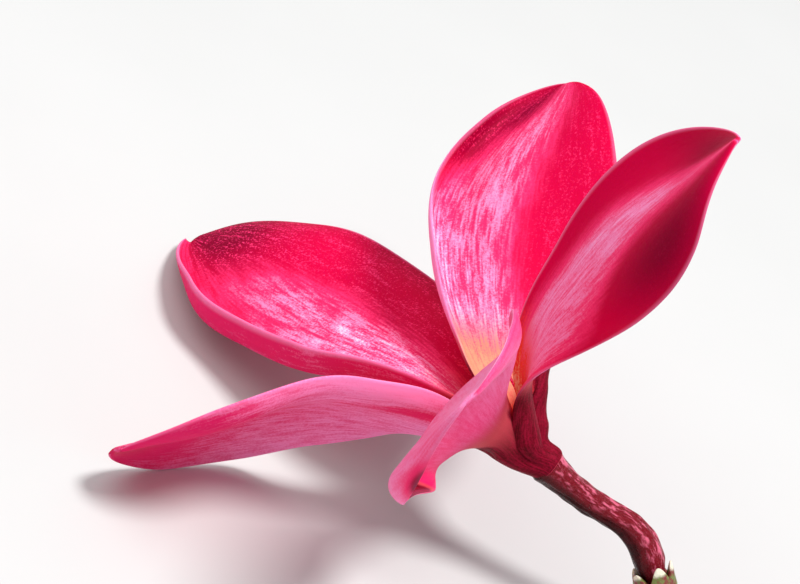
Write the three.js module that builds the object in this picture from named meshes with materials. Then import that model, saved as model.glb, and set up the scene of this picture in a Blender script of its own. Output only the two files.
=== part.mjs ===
// A frangipani flower, as picked: five petals in a pinwheel, each overlapping the next at the throat,
// on a bent corolla tube that ends in a small lobed calyx and a short length of stalk. Millimetres, +Z up.
// The flower is worked out in a frame of its own, with the throat at the origin and +Z out of the face,
// and then laid down on two petals and the end of the stalk.
import * as THREE from 'three';

const DEGREE = Math.PI / 180;

// Petals: a thin curved blade, from a curled claw at the throat to a blunt tip.
const PETAL_THICKNESS = 0.62;
const THROAT_RADIUS = 2.35;        // from the flower's axis to the middle of each claw
const CLAW_HALF_WIDTH = 2.55;
const CLAW_INNER_SHARE = 0.75;     // the covered-over side of the claw is narrower
const CLAW_LEAN = 20;              // outward lean of a petal where it leaves the throat, degrees
const CLAW_ROLL = 33;              // turn of a petal about its own length at the throat, degrees
const CLAW_CUP = 82;               // how far each side of the claw curls round the throat, degrees
const CLAW_END = 0.42;             // share of the length over which the curl opens out
const TIP_HALF_WIDTH = 0.6;
const CURL_START = 0.5;            // share of the half width where the raised margin starts to curl in
const RIDGE_WIDTH = 0.35;          // share of the half width that the fold along the middle takes
const RIDGE_FADE_START = 0.3;      // on the raised half the fold fades out between these two shares
const RIDGE_FADE_END = 0.7;
const FORM_END = 0.45;             // share of the length over which the blade's own form sets in
const TIP_START = 0.8;             // from here to the tip the form flattens by this much
const TIP_FLATTENING = 0.35;
const LEAN_STATIONS = [0, 0.12, 0.35, 0.68, 1];
const ROLL_STATIONS = [0, 0.35, 0.68, 1];
const FIRST_AZIMUTH = -157.5;
const PETAL_STEP = 72;
const ROWS = 26;
const COLUMNS_A_SIDE = 7;
const ARC_STEPS = 28;
const SPINE_STEPS = 120;
const ROW_CROWDING = 0.6;          // rows stand closer at the claw and at the tip

// What differs from petal to petal. Angles in degrees, lengths in millimetres, the rest are shares.
//   turn: off its place in the ring; lean: at stations 1 to 4; sweep: sideways bend of the whole blade;
//   roll: at stations 1 to 3; tuck: recurve of the covered margin; lift: curl of the raised margin;
//   ridge: fold along the middle; skew: extra width of the covered half; widest: place along the length;
//   bluntness: power of the outline, lower is blunter; raisedTrim, coveredTrim: factors on the width of
//   either half at the trim stations.
const TRIM_STATIONS = [0.15, 0.4, 0.6, 0.8, 1];
const PETALS = [
  {
    turn: -0.3, length: 41.1, width: 19.9, lean: [38, 46, 70.5, 69], sweep: 8.7, roll: [20.5, 11, 6.5],
    tuck: 23, lift: 44, ridge: 10, skew: 0.03, widest: 0.66, bluntness: 0.51,
    raisedTrim: [1, 1.01, 0.99, 1.08, 1], coveredTrim: [1, 0.84, 1.06, 1.02, 1],
  },
  {
    turn: -11.3, length: 47, width: 26.6, lean: [32, 58.5, 54, 64.5], sweep: 16.5, roll: [8, -0.5, 2],
    tuck: 24.5, lift: 113, ridge: 3.5, skew: -0.14, widest: 0.59, bluntness: 0.54,
    raisedTrim: [1, 0.95, 0.96, 1.07, 0.84], coveredTrim: [1, 1.01, 0.98, 0.96, 0.86],
  },
  {
    turn: 4, length: 44.5, width: 22, lean: [42.5, 51.5, 67, 80.5], sweep: -14.5, roll: [44, 19.5, 2.5],
    tuck: 25, lift: 109, ridge: 6, skew: 0.02, widest: 0.59, bluntness: 0.5,
    raisedTrim: [1, 1, 1, 1, 1], coveredTrim: [1, 1, 0.97, 0.95, 1],
  },
  {
    turn: -11.5, length: 43.5, width: 19.8, lean: [35, 61.5, 73, 76], sweep: -3.2, roll: [27, 20.5, -0.5],
    tuck: 68.5, lift: 41, ridge: 8, skew: -0.05, widest: 0.66, bluntness: 0.72,
    raisedTrim: [1, 1, 1, 1.05, 1.06], coveredTrim: [1, 1.01, 0.98, 0.98, 0.9],
  },
  {
    turn: -1, length: 43.2, width: 21.8, lean: [57, 58, 79.5, 77.5], sweep: 5.5, roll: [20.5, 12.5, 10.5],
    tuck: 19, lift: 69, ridge: 3.5, skew: 0.14, widest: 0.58, bluntness: 0.56,
    raisedTrim: [1, 1, 1.02, 1, 1], coveredTrim: [1, 0.98, 1.05, 1.21, 1],
  },
];

// Corolla tube: a solid bent stem. Its route is in the flower's frame, and its radius is given along it.
const TUBE_ROUTE = [
  [0.5, 0, -0.8], [1.1, 0.1, -2.0], [1.65, 0.2, -3.1], [2.1, 0.3, -4.4], [2.65, 0.4, -6.3], [3.75, 0.5, -9.2],
  [4.75, 0.6, -11.2], [5.85, 0.7, -13.6], [6.1, 0.7, -16.1], [5.6, 0.7, -18.4], [5.1, 0.6, -20.2],
];
const TUBE_RADII = [2.5, 2.25, 1.92, 1.58, 1.42, 1.34, 1.33, 1.45, 1.6, 1.55, 1.1];
const TUBE_STEPS = 30;
const STEM_SIDES = 20;

// Calyx: a small green cup with five pointed lobes that stand up round the foot of the tube.
const CALYX_GAP = 0.3;
const CALYX_SIDE_GAP = 0.45;
const CALYX_WALL = 0.65;
const CALYX_BASE_RADIUS = 1.25;
const CALYX_FLOOR = 1.3;           // solid depth under the end of the tube
const CALYX_RIM = 0.5;             // height of the cup's wall above its floor, between the lobes
const LOBE_HEIGHT = 1.4;
const LOBE_COUNT = 5;
const LOBE_SHARPNESS = 1.5;
const LOBE_FLARE = 0.16;
const CALYX_SIDES = 40;
const CALYX_LEVELS = 3;

// Stalk: what is left of the pedicel below the calyx, cut straight.
const STALK_LENGTH = 9.5;
const STALK_RADIUS = 1.05;
const STALK_BEND = 0.2;            // sideways drift of the cut end
const STALK_STEPS = 8;

// How the flower lies: turned about its own axis, leaned over, and turned on the table.
const LIE_SPIN = 111.1;
const LIE_LEAN = 60;
const LIE_HEADING = -93.1;

const smooth = (t) => {
  const s = Math.min(Math.max(t, 0), 1);
  return s * s * (3 - 2 * s);
};

// A smooth curve through values at given stations, with slopes from the neighbouring values.
function blendValues(stations, values, at) {
  const last = stations.length - 1;
  const slope = (i) => {
    const a = Math.max(i - 1, 0);
    const b = Math.min(i + 1, last);
    return (values[b] - values[a]) / (stations[b] - stations[a]);
  };
  let i = 0;
  while (i < last - 1 && at >= stations[i + 1]) i += 1;
  const h = stations[i + 1] - stations[i];
  const t = (at - stations[i]) / h;
  return (1 + 2 * t) * (1 - t) ** 2 * values[i] + t * (1 - t) ** 2 * h * slope(i)
    + t * t * (3 - 2 * t) * values[i + 1] + t * t * (t - 1) * h * slope(i + 1);
}

// The petal's middle line, as points and directions at even steps from the throat to the tip.
function petalSpine(petal, azimuth) {
  const step = petal.length / SPINE_STEPS;
  const spine = [];
  const at = new THREE.Vector3(Math.cos(azimuth), Math.sin(azimuth), 0).multiplyScalar(THROAT_RADIUS);
  let before = null;
  for (let i = 0; i <= SPINE_STEPS; i += 1) {
    const u = i / SPINE_STEPS;
    const lean = blendValues(LEAN_STATIONS, [CLAW_LEAN, ...petal.lean], u) * DEGREE;
    const heading = azimuth + petal.sweep * DEGREE * u * u;
    const direction = new THREE.Vector3(
      Math.sin(lean) * Math.cos(heading),
      Math.sin(lean) * Math.sin(heading),
      Math.cos(lean),
    );
    if (before) at.addScaledVector(before.clone().add(direction), step / 2);
    spine.push({ point: at.clone(), lean, heading });
    before = direction;
  }
  return spine;
}

function halfWidth(petal, u, side) {
  const power = Math.log(0.5) / Math.log(petal.widest);
  const outline = Math.max(Math.sin(Math.PI * u ** power), 0) ** petal.bluntness;
  const claw = CLAW_HALF_WIDTH * (side < 0 ? CLAW_INNER_SHARE : 1) * (1 - u) ** 2;
  const trims = side < 0 ? petal.raisedTrim : petal.coveredTrim;
  const trim = blendValues(TRIM_STATIONS, trims, Math.max(u, TRIM_STATIONS[0]));
  const blade = petal.width / 2 * outline * (1 + side * petal.skew * Math.sin(Math.PI * u)) * trim;
  return Math.hypot(claw, blade, TIP_HALF_WIDTH * u);
}

// Slope of the petal's cross-section at share v of one half, seen along its length.
function sectionSlope(petal, u, v, side) {
  const cup = CLAW_CUP * (1 - smooth(u / CLAW_END)) * v;
  const form = smooth(u / FORM_END) * (1 - TIP_FLATTENING * smooth((u - TIP_START) / (1 - TIP_START)));
  const ridge = petal.ridge * smooth(v / RIDGE_WIDTH);
  if (side > 0) return cup - form * (ridge + petal.tuck * v * v);
  const fade = 1 - smooth((v - RIDGE_FADE_START) / (RIDGE_FADE_END - RIDGE_FADE_START));
  return cup + form * (petal.lift * smooth((v - CURL_START) / (1 - CURL_START)) - ridge * fade);
}

// One row of points across the petal, from the raised margin to the covered one.
function petalRow(petal, spine, u) {
  const place = u * SPINE_STEPS;
  const i = Math.min(Math.floor(place), SPINE_STEPS - 1);
  const f = place - i;
  const point = spine[i].point.clone().lerp(spine[i + 1].point, f);
  const lean = THREE.MathUtils.lerp(spine[i].lean, spine[i + 1].lean, f);
  const heading = THREE.MathUtils.lerp(spine[i].heading, spine[i + 1].heading, f);
  const roll = blendValues(ROLL_STATIONS, [CLAW_ROLL, ...petal.roll], u) * DEGREE;
  const inward = new THREE.Vector3(
    -Math.cos(lean) * Math.cos(heading),
    -Math.cos(lean) * Math.sin(heading),
    Math.sin(lean),
  );
  const clockwise = new THREE.Vector3(Math.sin(heading), -Math.cos(heading), 0);
  const across = clockwise.clone().multiplyScalar(Math.cos(roll)).addScaledVector(inward, -Math.sin(roll));
  const up = inward.clone().multiplyScalar(Math.cos(roll)).addScaledVector(clockwise, Math.sin(roll));
  const row = [];
  for (const side of [-1, 1]) {
    const half = halfWidth(petal, u, side);
    let x = 0;
    let y = 0;
    let before = sectionSlope(petal, u, 0, side) * DEGREE;
    const points = [point.clone()];
    for (let k = 1; k <= ARC_STEPS; k += 1) {
      const slope = sectionSlope(petal, u, k / ARC_STEPS, side) * DEGREE;
      x += (Math.cos(slope) + Math.cos(before)) / 2 * half / ARC_STEPS;
      y += (Math.sin(slope) + Math.sin(before)) / 2 * half / ARC_STEPS;
      before = slope;
      if (k % (ARC_STEPS / COLUMNS_A_SIDE) === 0) {
        points.push(point.clone().addScaledVector(across, side * x).addScaledVector(up, y));
      }
    }
    if (side < 0) row.push(...points.slice(1).reverse(), points[0]);
    else row.push(...points.slice(1));
  }
  return row;
}

function petalSheet(petal, azimuth) {
  const spine = petalSpine(petal, azimuth);
  const rows = [];
  for (let i = 0; i <= ROWS; i += 1) {
    const q = i / ROWS;
    rows.push(petalRow(petal, spine, q - ROW_CROWDING * Math.sin(2 * Math.PI * q) / (2 * Math.PI)));
  }
  return rows;
}

// Unit normals of a sheet of points, towards the flower's inner face.
function sheetNormals(rows) {
  return rows.map((row, i) => row.map((point, j) => {
    const along = rows[Math.min(i + 1, rows.length - 1)][j].clone().sub(rows[Math.max(i - 1, 0)][j]);
    const across = row[Math.min(j + 1, row.length - 1)].clone().sub(row[Math.max(j - 1, 0)]);
    return across.cross(along).normalize();
  }));
}

function solidFromIndex(points, index) {
  const geometry = new THREE.BufferGeometry();
  geometry.setAttribute('position', new THREE.Float32BufferAttribute(points.flatMap((p) => p.toArray()), 3));
  geometry.setIndex(index);
  geometry.computeVertexNormals();
  return geometry;
}

// A blade of even thickness round a sheet of points, both faces split into triangles alike.
function bladeGeometry(rows, thickness) {
  const normals = sheetNormals(rows);
  const wide = rows[0].length;
  const long = rows.length;
  const shifted = (shift) => rows.flatMap(
    (row, i) => row.map((point, j) => point.clone().addScaledVector(normals[i][j], shift)),
  );
  const inner = shifted(thickness / 2);
  const outer = shifted(-thickness / 2);
  const count = inner.length;
  const index = [];
  const quad = (a, b, c, d) => index.push(a, b, c, a, c, d);
  for (let i = 0; i < long - 1; i += 1) {
    for (let j = 0; j < wide - 1; j += 1) {
      const a = i * wide + j;
      quad(a, a + 1, a + wide + 1, a + wide);
      index.push(count + a, count + a + wide + 1, count + a + 1);
      index.push(count + a, count + a + wide, count + a + wide + 1);
    }
  }
  const edge = [];
  for (let j = 0; j < wide - 1; j += 1) edge.push(j);
  for (let i = 0; i < long - 1; i += 1) edge.push(i * wide + wide - 1);
  for (let j = wide - 1; j > 0; j -= 1) edge.push((long - 1) * wide + j);
  for (let i = long - 1; i > 0; i -= 1) edge.push(i * wide);
  edge.forEach((a, k) => {
    const b = edge[(k + 1) % edge.length];
    quad(b, a, count + a, count + b);
  });
  return solidFromIndex([...inner, ...outer], index);
}

// A closed solid through rings of equal numbers of points, with a middle point closing each end.
function ringedSolid(rings, startCentre, endCentre) {
  const sides = rings[0].length;
  const points = [...rings.flat(), startCentre, endCentre];
  const start = points.length - 2;
  const end = points.length - 1;
  const index = [];
  for (let j = 0; j < sides; j += 1) {
    const next = (j + 1) % sides;
    index.push(start, next, j);
    for (let i = 0; i < rings.length - 1; i += 1) {
      const a = i * sides + j;
      const b = i * sides + next;
      index.push(a, b, b + sides, a, b + sides, a + sides);
    }
    const base = (rings.length - 1) * sides;
    index.push(end, base + j, base + next);
  }
  return solidFromIndex(points, index);
}

const tubeCurve = new THREE.CatmullRomCurve3(
  TUBE_ROUTE.map((p) => new THREE.Vector3(...p)),
  false,
  'centripetal',
);

// Frames along the curve that start square to the flower's axis and turn no more than the curve does.
function curveFrames(curve, steps) {
  const frames = [];
  let across = new THREE.Vector3(1, 0, 0);
  for (let i = 0; i <= steps; i += 1) {
    const t = i / steps;
    const along = i === 0 ? new THREE.Vector3(0, 0, -1) : curve.getTangentAt(t);
    across = across.clone().addScaledVector(along, -across.dot(along)).normalize();
    frames.push({ t, point: curve.getPointAt(t), along, across, side: along.clone().cross(across) });
  }
  return frames;
}

function ringAt(frame, radius, sides) {
  const ring = [];
  for (let j = 0; j < sides; j += 1) {
    const angle = 2 * Math.PI * j / sides;
    ring.push(frame.point.clone()
      .addScaledVector(frame.across, radius * Math.cos(angle))
      .addScaledVector(frame.side, radius * Math.sin(angle)));
  }
  return ring;
}

const tubeFrames = curveFrames(tubeCurve, TUBE_STEPS);

function tubeGeometry() {
  const stations = TUBE_RADII.map((_, i) => i / (TUBE_RADII.length - 1));
  const rings = tubeFrames.map(
    (frame) => ringAt(frame, blendValues(stations, TUBE_RADII, frame.t), STEM_SIDES),
  );
  return ringedSolid(rings, tubeFrames[0].point, tubeFrames[TUBE_STEPS].point);
}

// The calyx and the stalk share the frame of the tube's end, with the distance measured along it.
const foot = tubeFrames[TUBE_STEPS];
const footRadius = TUBE_RADII[TUBE_RADII.length - 1];

function footPoint(distance, radius, angle, drift = 0) {
  return foot.point.clone()
    .addScaledVector(foot.along, distance)
    .addScaledVector(foot.across, radius * Math.cos(angle) + drift)
    .addScaledVector(foot.side, radius * Math.sin(angle));
}

// The calyx is built of rings round its axis: up the inside, over the lobed rim, and down the outside.
function calyxGeometry() {
  const innerRadius = footRadius + CALYX_SIDE_GAP;
  const outerRadius = innerRadius + CALYX_WALL;
  const lobe = (angle) => Math.abs(Math.cos(LOBE_COUNT * angle / 2)) ** LOBE_SHARPNESS;
  const wallHeight = (angle) => CALYX_RIM + LOBE_HEIGHT * lobe(angle);
  const rings = [];
  const ring = (radiusAt, distanceAt) => {
    const points = [];
    for (let j = 0; j < CALYX_SIDES; j += 1) {
      const angle = 2 * Math.PI * j / CALYX_SIDES;
      points.push(footPoint(distanceAt(angle), radiusAt(angle), angle));
    }
    rings.push(points);
  };
  const wallRing = (radius, share) => ring(
    (angle) => radius + LOBE_FLARE * share * wallHeight(angle),
    (angle) => CALYX_GAP - share * (wallHeight(angle) + CALYX_GAP),
  );
  for (let k = 0; k <= CALYX_LEVELS; k += 1) wallRing(innerRadius, k / CALYX_LEVELS);
  for (let k = CALYX_LEVELS; k >= 0; k -= 1) wallRing(outerRadius, k / CALYX_LEVELS);
  ring(() => CALYX_BASE_RADIUS, () => CALYX_GAP + CALYX_FLOOR);
  return ringedSolid(rings, footPoint(CALYX_GAP, 0, 0), footPoint(CALYX_GAP + CALYX_FLOOR, 0, 0));
}

function stalkGeometry() {
  const start = 2 * CALYX_GAP + CALYX_FLOOR;
  const rings = [];
  for (let i = 0; i <= STALK_STEPS; i += 1) {
    const share = i / STALK_STEPS;
    const ring = [];
    for (let j = 0; j < STEM_SIDES; j += 1) {
      const angle = 2 * Math.PI * j / STEM_SIDES;
      ring.push(footPoint(start + STALK_LENGTH * share, STALK_RADIUS, angle, STALK_BEND * share * share));
    }
    rings.push(ring);
  }
  return ringedSolid(rings, footPoint(start, 0, 0), footPoint(start + STALK_LENGTH, 0, 0, STALK_BEND));
}

const material = (color, roughness) => new THREE.MeshStandardMaterial({ color, roughness, metalness: 0 });

const flower = new THREE.Group();
PETALS.forEach((petal, i) => {
  const azimuth = (FIRST_AZIMUTH - PETAL_STEP * i + petal.turn) * DEGREE;
  const mesh = new THREE.Mesh(
    bladeGeometry(petalSheet(petal, azimuth), PETAL_THICKNESS),
    material(0xd8305e, 0.45),
  );
  mesh.name = `petal_${i + 1}`;
  flower.add(mesh);
});

const tube = new THREE.Mesh(tubeGeometry(), material(0x7d1428, 0.35));
tube.name = 'corolla_tube';
flower.add(tube);

const calyx = new THREE.Mesh(calyxGeometry(), material(0x6d7a3c, 0.5));
calyx.name = 'calyx';
flower.add(calyx);

const stalk = new THREE.Mesh(stalkGeometry(), material(0x6b5a33, 0.55));
stalk.name = 'pedicel';
flower.add(stalk);

flower.rotation.set(LIE_LEAN * DEGREE, 0, LIE_SPIN * DEGREE, 'XYZ');
const laid = new THREE.Group();
laid.rotation.z = LIE_HEADING * DEGREE;
laid.add(flower);

// Set down on the surface: lowest point at height 0, middle of the outline at the origin.
const part = new THREE.Group();
part.add(laid);
part.updateMatrixWorld(true);
const extent = new THREE.Box3().setFromObject(part, true);
const middle = extent.getCenter(new THREE.Vector3());
laid.position.set(-middle.x, -middle.y, -extent.min.z);

export default part;
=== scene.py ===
"""A frangipani flower, as picked, lying on a pale floor on two of its petals and the end of its stalk.

Petals, tube, calyx and stalk are worked out in the flower's own frame, in millimetres, with the throat
at the origin and +Z out of the face. They are then laid down just as the CAD nodes lie.
"""
import math

import bpy
import numpy as np
from mathutils import Matrix, Vector


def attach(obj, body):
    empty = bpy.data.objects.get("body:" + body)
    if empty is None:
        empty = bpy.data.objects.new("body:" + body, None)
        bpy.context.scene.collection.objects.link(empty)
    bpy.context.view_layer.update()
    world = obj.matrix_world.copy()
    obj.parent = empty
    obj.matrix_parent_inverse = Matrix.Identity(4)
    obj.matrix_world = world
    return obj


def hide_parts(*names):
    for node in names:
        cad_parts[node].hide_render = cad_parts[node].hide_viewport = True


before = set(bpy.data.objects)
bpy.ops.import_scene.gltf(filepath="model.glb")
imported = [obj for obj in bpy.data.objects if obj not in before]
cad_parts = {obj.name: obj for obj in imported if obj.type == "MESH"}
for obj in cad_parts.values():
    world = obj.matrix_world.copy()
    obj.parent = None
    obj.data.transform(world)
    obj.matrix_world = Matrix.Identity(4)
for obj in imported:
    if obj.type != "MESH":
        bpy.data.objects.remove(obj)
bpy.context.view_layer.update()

MM = 0.001
DEGREE = math.pi / 180

# ----------------------------------
# Sizes, in millimetres and degrees, in the flower's frame. They are the CAD model's own driving sizes,
# but for the wrap, wrap_curl, base_curl, covered_span and hem of the petals, the radii of the tube with
# their depths, and the first point of its route.

THROAT_RADIUS = 2.35               # from the flower's axis to the middle of each claw
CLAW_HALF_WIDTH = 2.55
CLAW_INNER_SHARE = 0.75            # the raised side of the claw is narrower
CLAW_LEAN = 20                     # outward lean of a petal where it leaves the throat
CLAW_ROLL = 33                     # turn of a petal about its own length at the throat
CLAW_CUP = 82                      # how far each side of the claw curls round the throat
CLAW_END = 0.42                    # share of the length over which the curl opens out
TIP_HALF_WIDTH = 0.6
CURL_START = 0.5                   # share of the half width where the raised margin starts to curl in
RIDGE_WIDTH = 0.35                 # share of the half width that the fold along the middle takes
RIDGE_FADE = (0.3, 0.7)            # shares between which it fades out on the raised half
FORM_END = 0.45                    # share of the length over which the blade's own form sets in
TIP_START = 0.8                    # from here to the tip the form flattens by this much
TIP_FLATTENING = 0.35
LEAN_STATIONS = (0, 0.12, 0.35, 0.68, 1)
ROLL_STATIONS = (0, 0.35, 0.68, 1)
FIRST_AZIMUTH = -157.5
PETAL_STEP = 72
SPINE_STEPS = 240
ARC_STEPS = 96

# What differs from petal to petal. Angles in degrees, lengths in millimetres, the rest are shares.
#   turn: off its place in the ring; lean: at stations 1 to 4; sweep: sideways bend of the whole blade;
#   roll: at stations 1 to 3; tuck: recurve of the covered margin; lift: curl of the raised margin;
#   ridge: fold along the middle; skew: extra width of the covered half; widest: place along the length;
#   bluntness: power of the outline, lower is blunter; wrap: extra width of the covered half of the claw,
#   curled in by wrap_curl, and at the throat by base_curl too; covered_span: of that half on the tube's
#   skin; hem: roll of the covered margin; raised_trim, covered_trim: factors on the width of either half
#   at the trim stations.
TRIM_STATIONS = (0.15, 0.4, 0.6, 0.8, 1)
PETALS = (
    dict(turn=-0.3, length=41.1, width=19.9, lean=(38, 46, 70.5, 69), sweep=8.7, roll=(20.5, 11, 6.5),
         tuck=23, lift=44, ridge=10, skew=0.03, widest=0.66, bluntness=0.51,
         wrap=1.7, wrap_curl=61, base_curl=30, covered_span=68, hem=0,
         raised_trim=(1, 1.01, 0.99, 1.08, 1), covered_trim=(1, 0.84, 1.06, 1.02, 1)),
    dict(turn=-11.3, length=47, width=26.6, lean=(32, 58.5, 54, 64.5), sweep=16.5, roll=(8, -0.5, 2),
         tuck=24.5, lift=113, ridge=3.5, skew=-0.14, widest=0.59, bluntness=0.54,
         wrap=1.7, wrap_curl=61, base_curl=30, covered_span=68, hem=0,
         raised_trim=(1, 0.95, 0.96, 1.07, 0.84), covered_trim=(1, 1.01, 0.98, 0.96, 0.86)),
    dict(turn=4, length=44.5, width=22, lean=(42.5, 51.5, 67, 80.5), sweep=-14.5, roll=(44, 19.5, 2.5),
         tuck=25, lift=109, ridge=6, skew=0.02, widest=0.59, bluntness=0.5,
         wrap=3.2, wrap_curl=112, base_curl=56, covered_span=115, hem=0,
         raised_trim=(1, 1, 1, 1, 1), covered_trim=(1, 1, 0.97, 0.95, 1)),
    dict(turn=-11.5, length=43.5, width=19.8, lean=(35, 61.5, 73, 76), sweep=-3.2, roll=(27, 20.5, -0.5),
         tuck=68.5, lift=41, ridge=8, skew=-0.05, widest=0.66, bluntness=0.72,
         wrap=1.7, wrap_curl=61, base_curl=30, covered_span=68, hem=0,
         raised_trim=(1, 1, 1, 1.05, 1.06), covered_trim=(1, 1.01, 0.98, 0.98, 0.9)),
    dict(turn=-1, length=43.2, width=21.8, lean=(57, 58, 79.5, 77.5), sweep=5.5, roll=(20.5, 12.5, 10.5),
         tuck=19, lift=69, ridge=3.5, skew=0.14, widest=0.58, bluntness=0.56,
         wrap=1.7, wrap_curl=61, base_curl=30, covered_span=68, hem=90,
         raised_trim=(1, 1, 1.02, 1, 1), covered_trim=(1, 0.98, 1.05, 1.21, 1)),
)

# Colour of the petals. The inner face is pale between two lines, low and high, given as shares of the
# half width at the look stations; that pale zone is partly the petals' own streaks, partly painted sheen.
# Spots are (along, across, reach along, reach across, amount).
#   strength: of the pale zone at the stations; glow: of the warm throat; inner_dark: dark spots of the
#   inner face, mostly painted shade on turned-down halves, curled tips, folds and hollows, but on petal 3
#   its dark claw; mottle: contrast of the mottling; claw: shares of the length between which the dark
#   claw runs out on the outer face; outer_pale, outer_edge: paleness of that face, and what its margins
#   add; rim: painted rim highlight, a paleness of the very margin; outer_spots: spots of the outer face,
#   pale above 0 and dark below, the dark ones partly painted shade, as in the hollow of petal 5's rolled hem.
LOOK_STATIONS = (0.1, 0.4, 0.7, 0.95)
LOOKS = (
    dict(low=(-1.3, -1.3, -1.3, -1.3), high=(0.2, 0.1, 0.1, 0), strength=(0.9, 0.8, 0.6, 0.6), glow=0.6,
         inner_dark=(), mottle=0.9, claw=(0.03, 0.2), outer_pale=0.5, outer_edge=0.15, rim=0.3,
         outer_spots=((0.25, -0.45, 0.14, 0.14, -0.8), (0.98, 0, 0.32, 1.5, -1.15),
                      (0.35, -0.9, 0.15, 0.3, 0.4))),
    dict(low=(-1.3, -1.3, -1.3, -1.3), high=(0.15, 0.1, 0.05, -0.45), strength=(0.98, 0.78, 0.55, 0.5),
         glow=0.8, inner_dark=((0.95, 0.3, 0.13, 0.8, 1.3), (0.5, 1, 0.4, 0.25, 0.5)),
         mottle=1.35, claw=(0.02, 0.2), outer_pale=-0.2, outer_edge=0, rim=0.6, outer_spots=()),
    dict(low=(-1.3, -1.3, -0.9, -0.2), high=(0.4, 0.1, 0.15, 0.4), strength=(1.1, 0.9, 0.66, 0.52),
         glow=1.8, inner_dark=((0.8, -0.85, 0.15, 0.35, 0.8), (0.93, -0.5, 0.07, 0.3, 0.7),
                               (0.05, 0.75, 0.12, 0.35, 2.5)),
         mottle=1.15, claw=(0.1, 0.28), outer_pale=0.5, outer_edge=0.2, rim=0.3, outer_spots=()),
    dict(low=(-0.9, -0.7, -0.45, -0.2), high=(1.1, 0.85, 0.3, 0.35), strength=(0.8, 0.85, 0.85, 0.55),
         glow=1.45, inner_dark=((0.74, 0.65, 0.2, 0.35, 1), (0.9, -0.5, 0.12, 0.4, 0.7),
                               (0.6, -1, 0.3, 0.35, 0.2)),
         mottle=0.7, claw=(0.1, 0.28), outer_pale=0.5, outer_edge=0.2, rim=0.4, outer_spots=()),
    dict(low=(-1.3, -1.3, -1.3, -1.3), high=(1.5, 1.5, 1.5, 1.5), strength=(0.62, 0.62, 0.8, 0.85),
         glow=0.6, inner_dark=((0.84, 1.05, 0.05, 0.12, 1.4),),
         mottle=0.35, claw=(-0.08, 0.32), outer_pale=0.44, outer_edge=-0.25, rim=0.1,
         outer_spots=((0.1, -0.35, 0.06, 0.2, -1.2), (0.03, 0.9, 0.1, 0.45, -3.2),
                      (0.52, 0.97, 0.13, 0.13, -3))),
)
ZONE_EDGE = 0.6                    # width over which the pale zone fades out
PALE_START = -0.02                 # shares of the length at which the pale zone sets in
PALE_RISE = 0.1
GLOW_REACH = 0.36                  # share of the length over which the glow of the throat runs out
GLOW_MIDDLE = 0.7                  # its strength along the middle, and what it loses to the covered side
GLOW_TILT = 0.45
OUTER_EDGE_START = 0.6             # share of the half width at which the outer face's margin sets in
SPOT_DARK_START = 0.8              # dark spots of the outer face, partly painted shade, darken it past this amount
SPOT_DARKENING = 0.8

TUBE_ROUTE = (
    (0.2, 0, 0), (0.5, 0, -0.8), (1.1, 0.1, -2.0), (1.65, 0.2, -3.1), (2.1, 0.3, -4.4), (2.65, 0.4, -6.3),
    (3.75, 0.5, -9.2), (4.75, 0.6, -11.2), (5.85, 0.7, -13.6), (6.1, 0.7, -16.1), (5.6, 0.7, -18.4),
    (5.1, 0.6, -20.2),
)
TUBE_DEPTHS = (0, 2, 3.3, 4.3, 5.2, 6.7, 9, 11, 13, 15, 17, 19, 21.3)
TUBE_RADII = (2.45, 2.2, 2.0, 1.88, 1.72, 1.5, 1.4, 1.34, 1.34, 1.45, 1.6, 1.6, 1.1)

CALYX_GAP = 0.3
CALYX_WALL = 0.65
CALYX_SIDE_GAP = 0.45
CALYX_BASE_RADIUS = 1.25
CALYX_FLOOR = 1.3
CALYX_RIM = 0.5
LOBE_HEIGHT = 1.4
LOBE_COUNT = 5
LOBE_FLARE = 0.16
STALK_LENGTH = 9.5
STALK_RADIUS = 1.05
STALK_BEND = 0.2

# How the flower lies: turned about its own axis, leaned over, turned on the floor, and set in place.
LIE_SPIN = 111.1
LIE_LEAN = 60
LIE_HEADING = -93.1
THROAT = np.array([5.651, -1.155, 14.85]) * MM

# Detail that only the looks need.
ROUTE_SAMPLES = 1200
LINE_SAMPLES = 600
PETAL_THICKNESS = 0.56
MARGIN_THICKNESS = 0.4
MIDDLE_REACH = 3                   # power: higher keeps the full thickness nearer to the margins
MARGIN_ROUNDING = 0.3              # width of the rounded margin
SKIRT_END_ROUNDING = 0.6           # at a claw's foot, the part of the distance that counts for it
BLADE_ROWS = 170
SKIRT_ROWS = 34
PETAL_COLUMNS = 121
ROW_CROWDING = 0.6                 # rows stand closer at the claw and at the tip
COLLAR_DEPTH = 4.3                 # below the throat: where the claws have run out into the tube's skin
THROAT_NARROWING = 0.45            # of a claw's own radius for each millimetre of depth
RAISED_SPAN = 22                   # of a claw's raised half on the tube's skin, degrees
WRAP_END = 0.3
BASE_CURL_END = 0.08
WRAP_LATENESS = 2.5                # above 1, the extra curl comes nearer the margin
HEM_START = 0.72                   # share of the covered half at which a rolled hem starts
THROAT_SHIFT = 0.72                # of the claws toward the flower's +X
SHIFT_END = 0.17                   # share of a petal's length over which that runs out
SHIFT_DEPTH = 4.8                  # and the depth below the throat
SKIN_RISE = 0.04                   # of a claw's outer face above the tube's skin
SKIRT_LAP = 0.15                   # how far the covered side of a claw stands out over its neighbour
SKIRT_END_THICKNESS = 0.12
VEIN_RELIEF = 0.016
VEIN_START = 0.1                   # share of the length over which the relief sets in
VEIN_REACH = 6                     # power: higher keeps the relief nearer to the margins
WAVE_HEIGHT = 0.16
WAVE_START = 0.3                   # shares of the length at which the waves set in
WAVE_RISE = 0.3

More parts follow.
